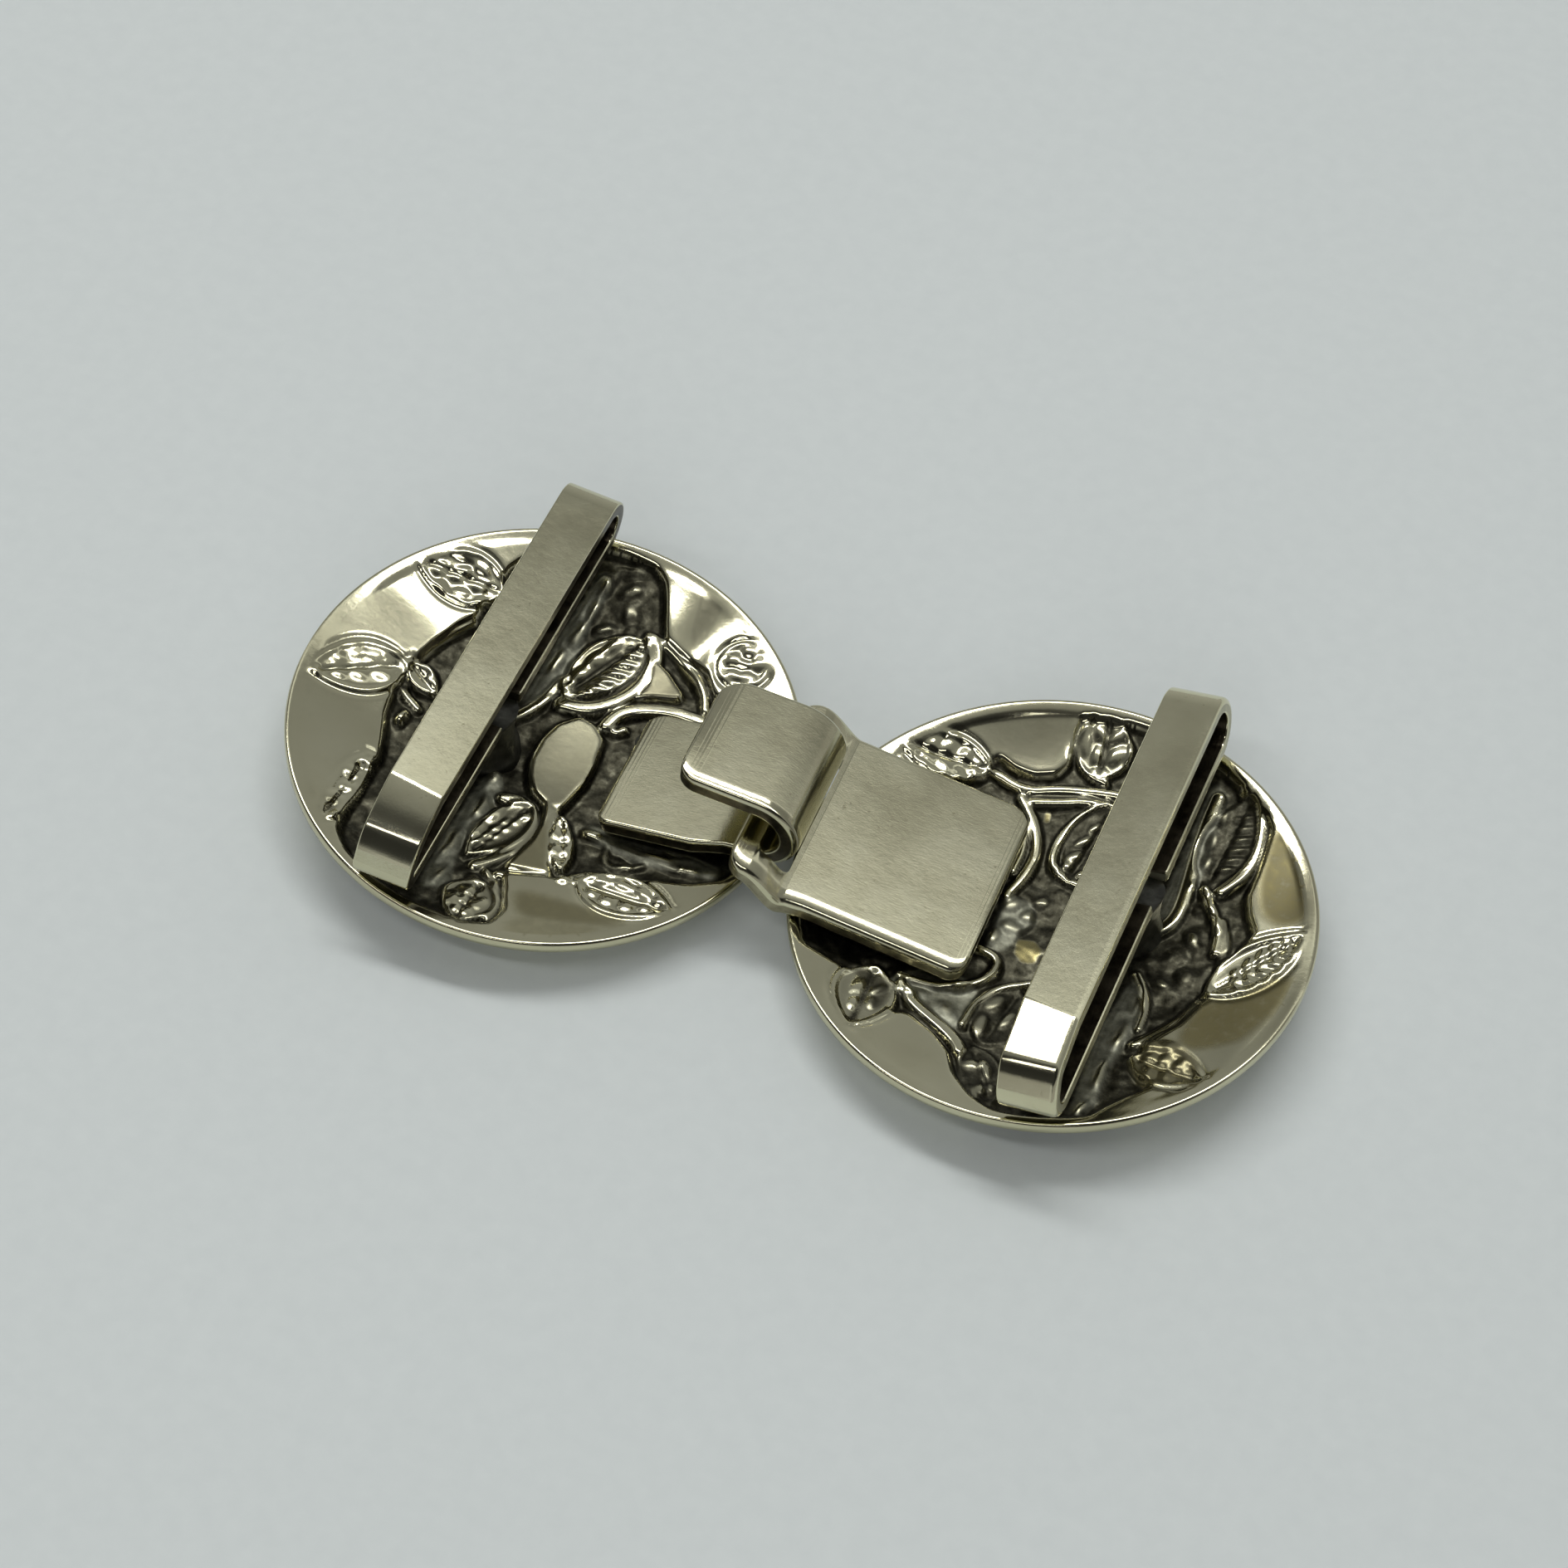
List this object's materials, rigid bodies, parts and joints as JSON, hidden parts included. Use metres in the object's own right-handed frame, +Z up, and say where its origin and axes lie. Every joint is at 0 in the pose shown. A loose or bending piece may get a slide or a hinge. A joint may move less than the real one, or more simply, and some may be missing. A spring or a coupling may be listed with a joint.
{
  "type": "apron clasp",
  "caption": "Two-part hook-and-eye clasp for an apron ribbon: leaf-relief discs lying face down and hooked together, each with a ribbon loop on its back.",
  "frame": {"origin": "middle between the two discs, on the ground the clasp lies on", "axes": "+X along the clasp from the hook half to the eye half, +Y along the ribbon loops, +Z up out of the discs' backs"},
  "size_m": [0.0612, 0.03, 0.0092],
  "materials": {
    "nickel": "pale, slightly yellow nickel, satin on the plates and loops, brighter on the discs, blackened in the hollows"
  },
  "bodies": {
    "root": {"hook_half": "nickel", "eye_half": "nickel"}
  },
  "joints": []
}
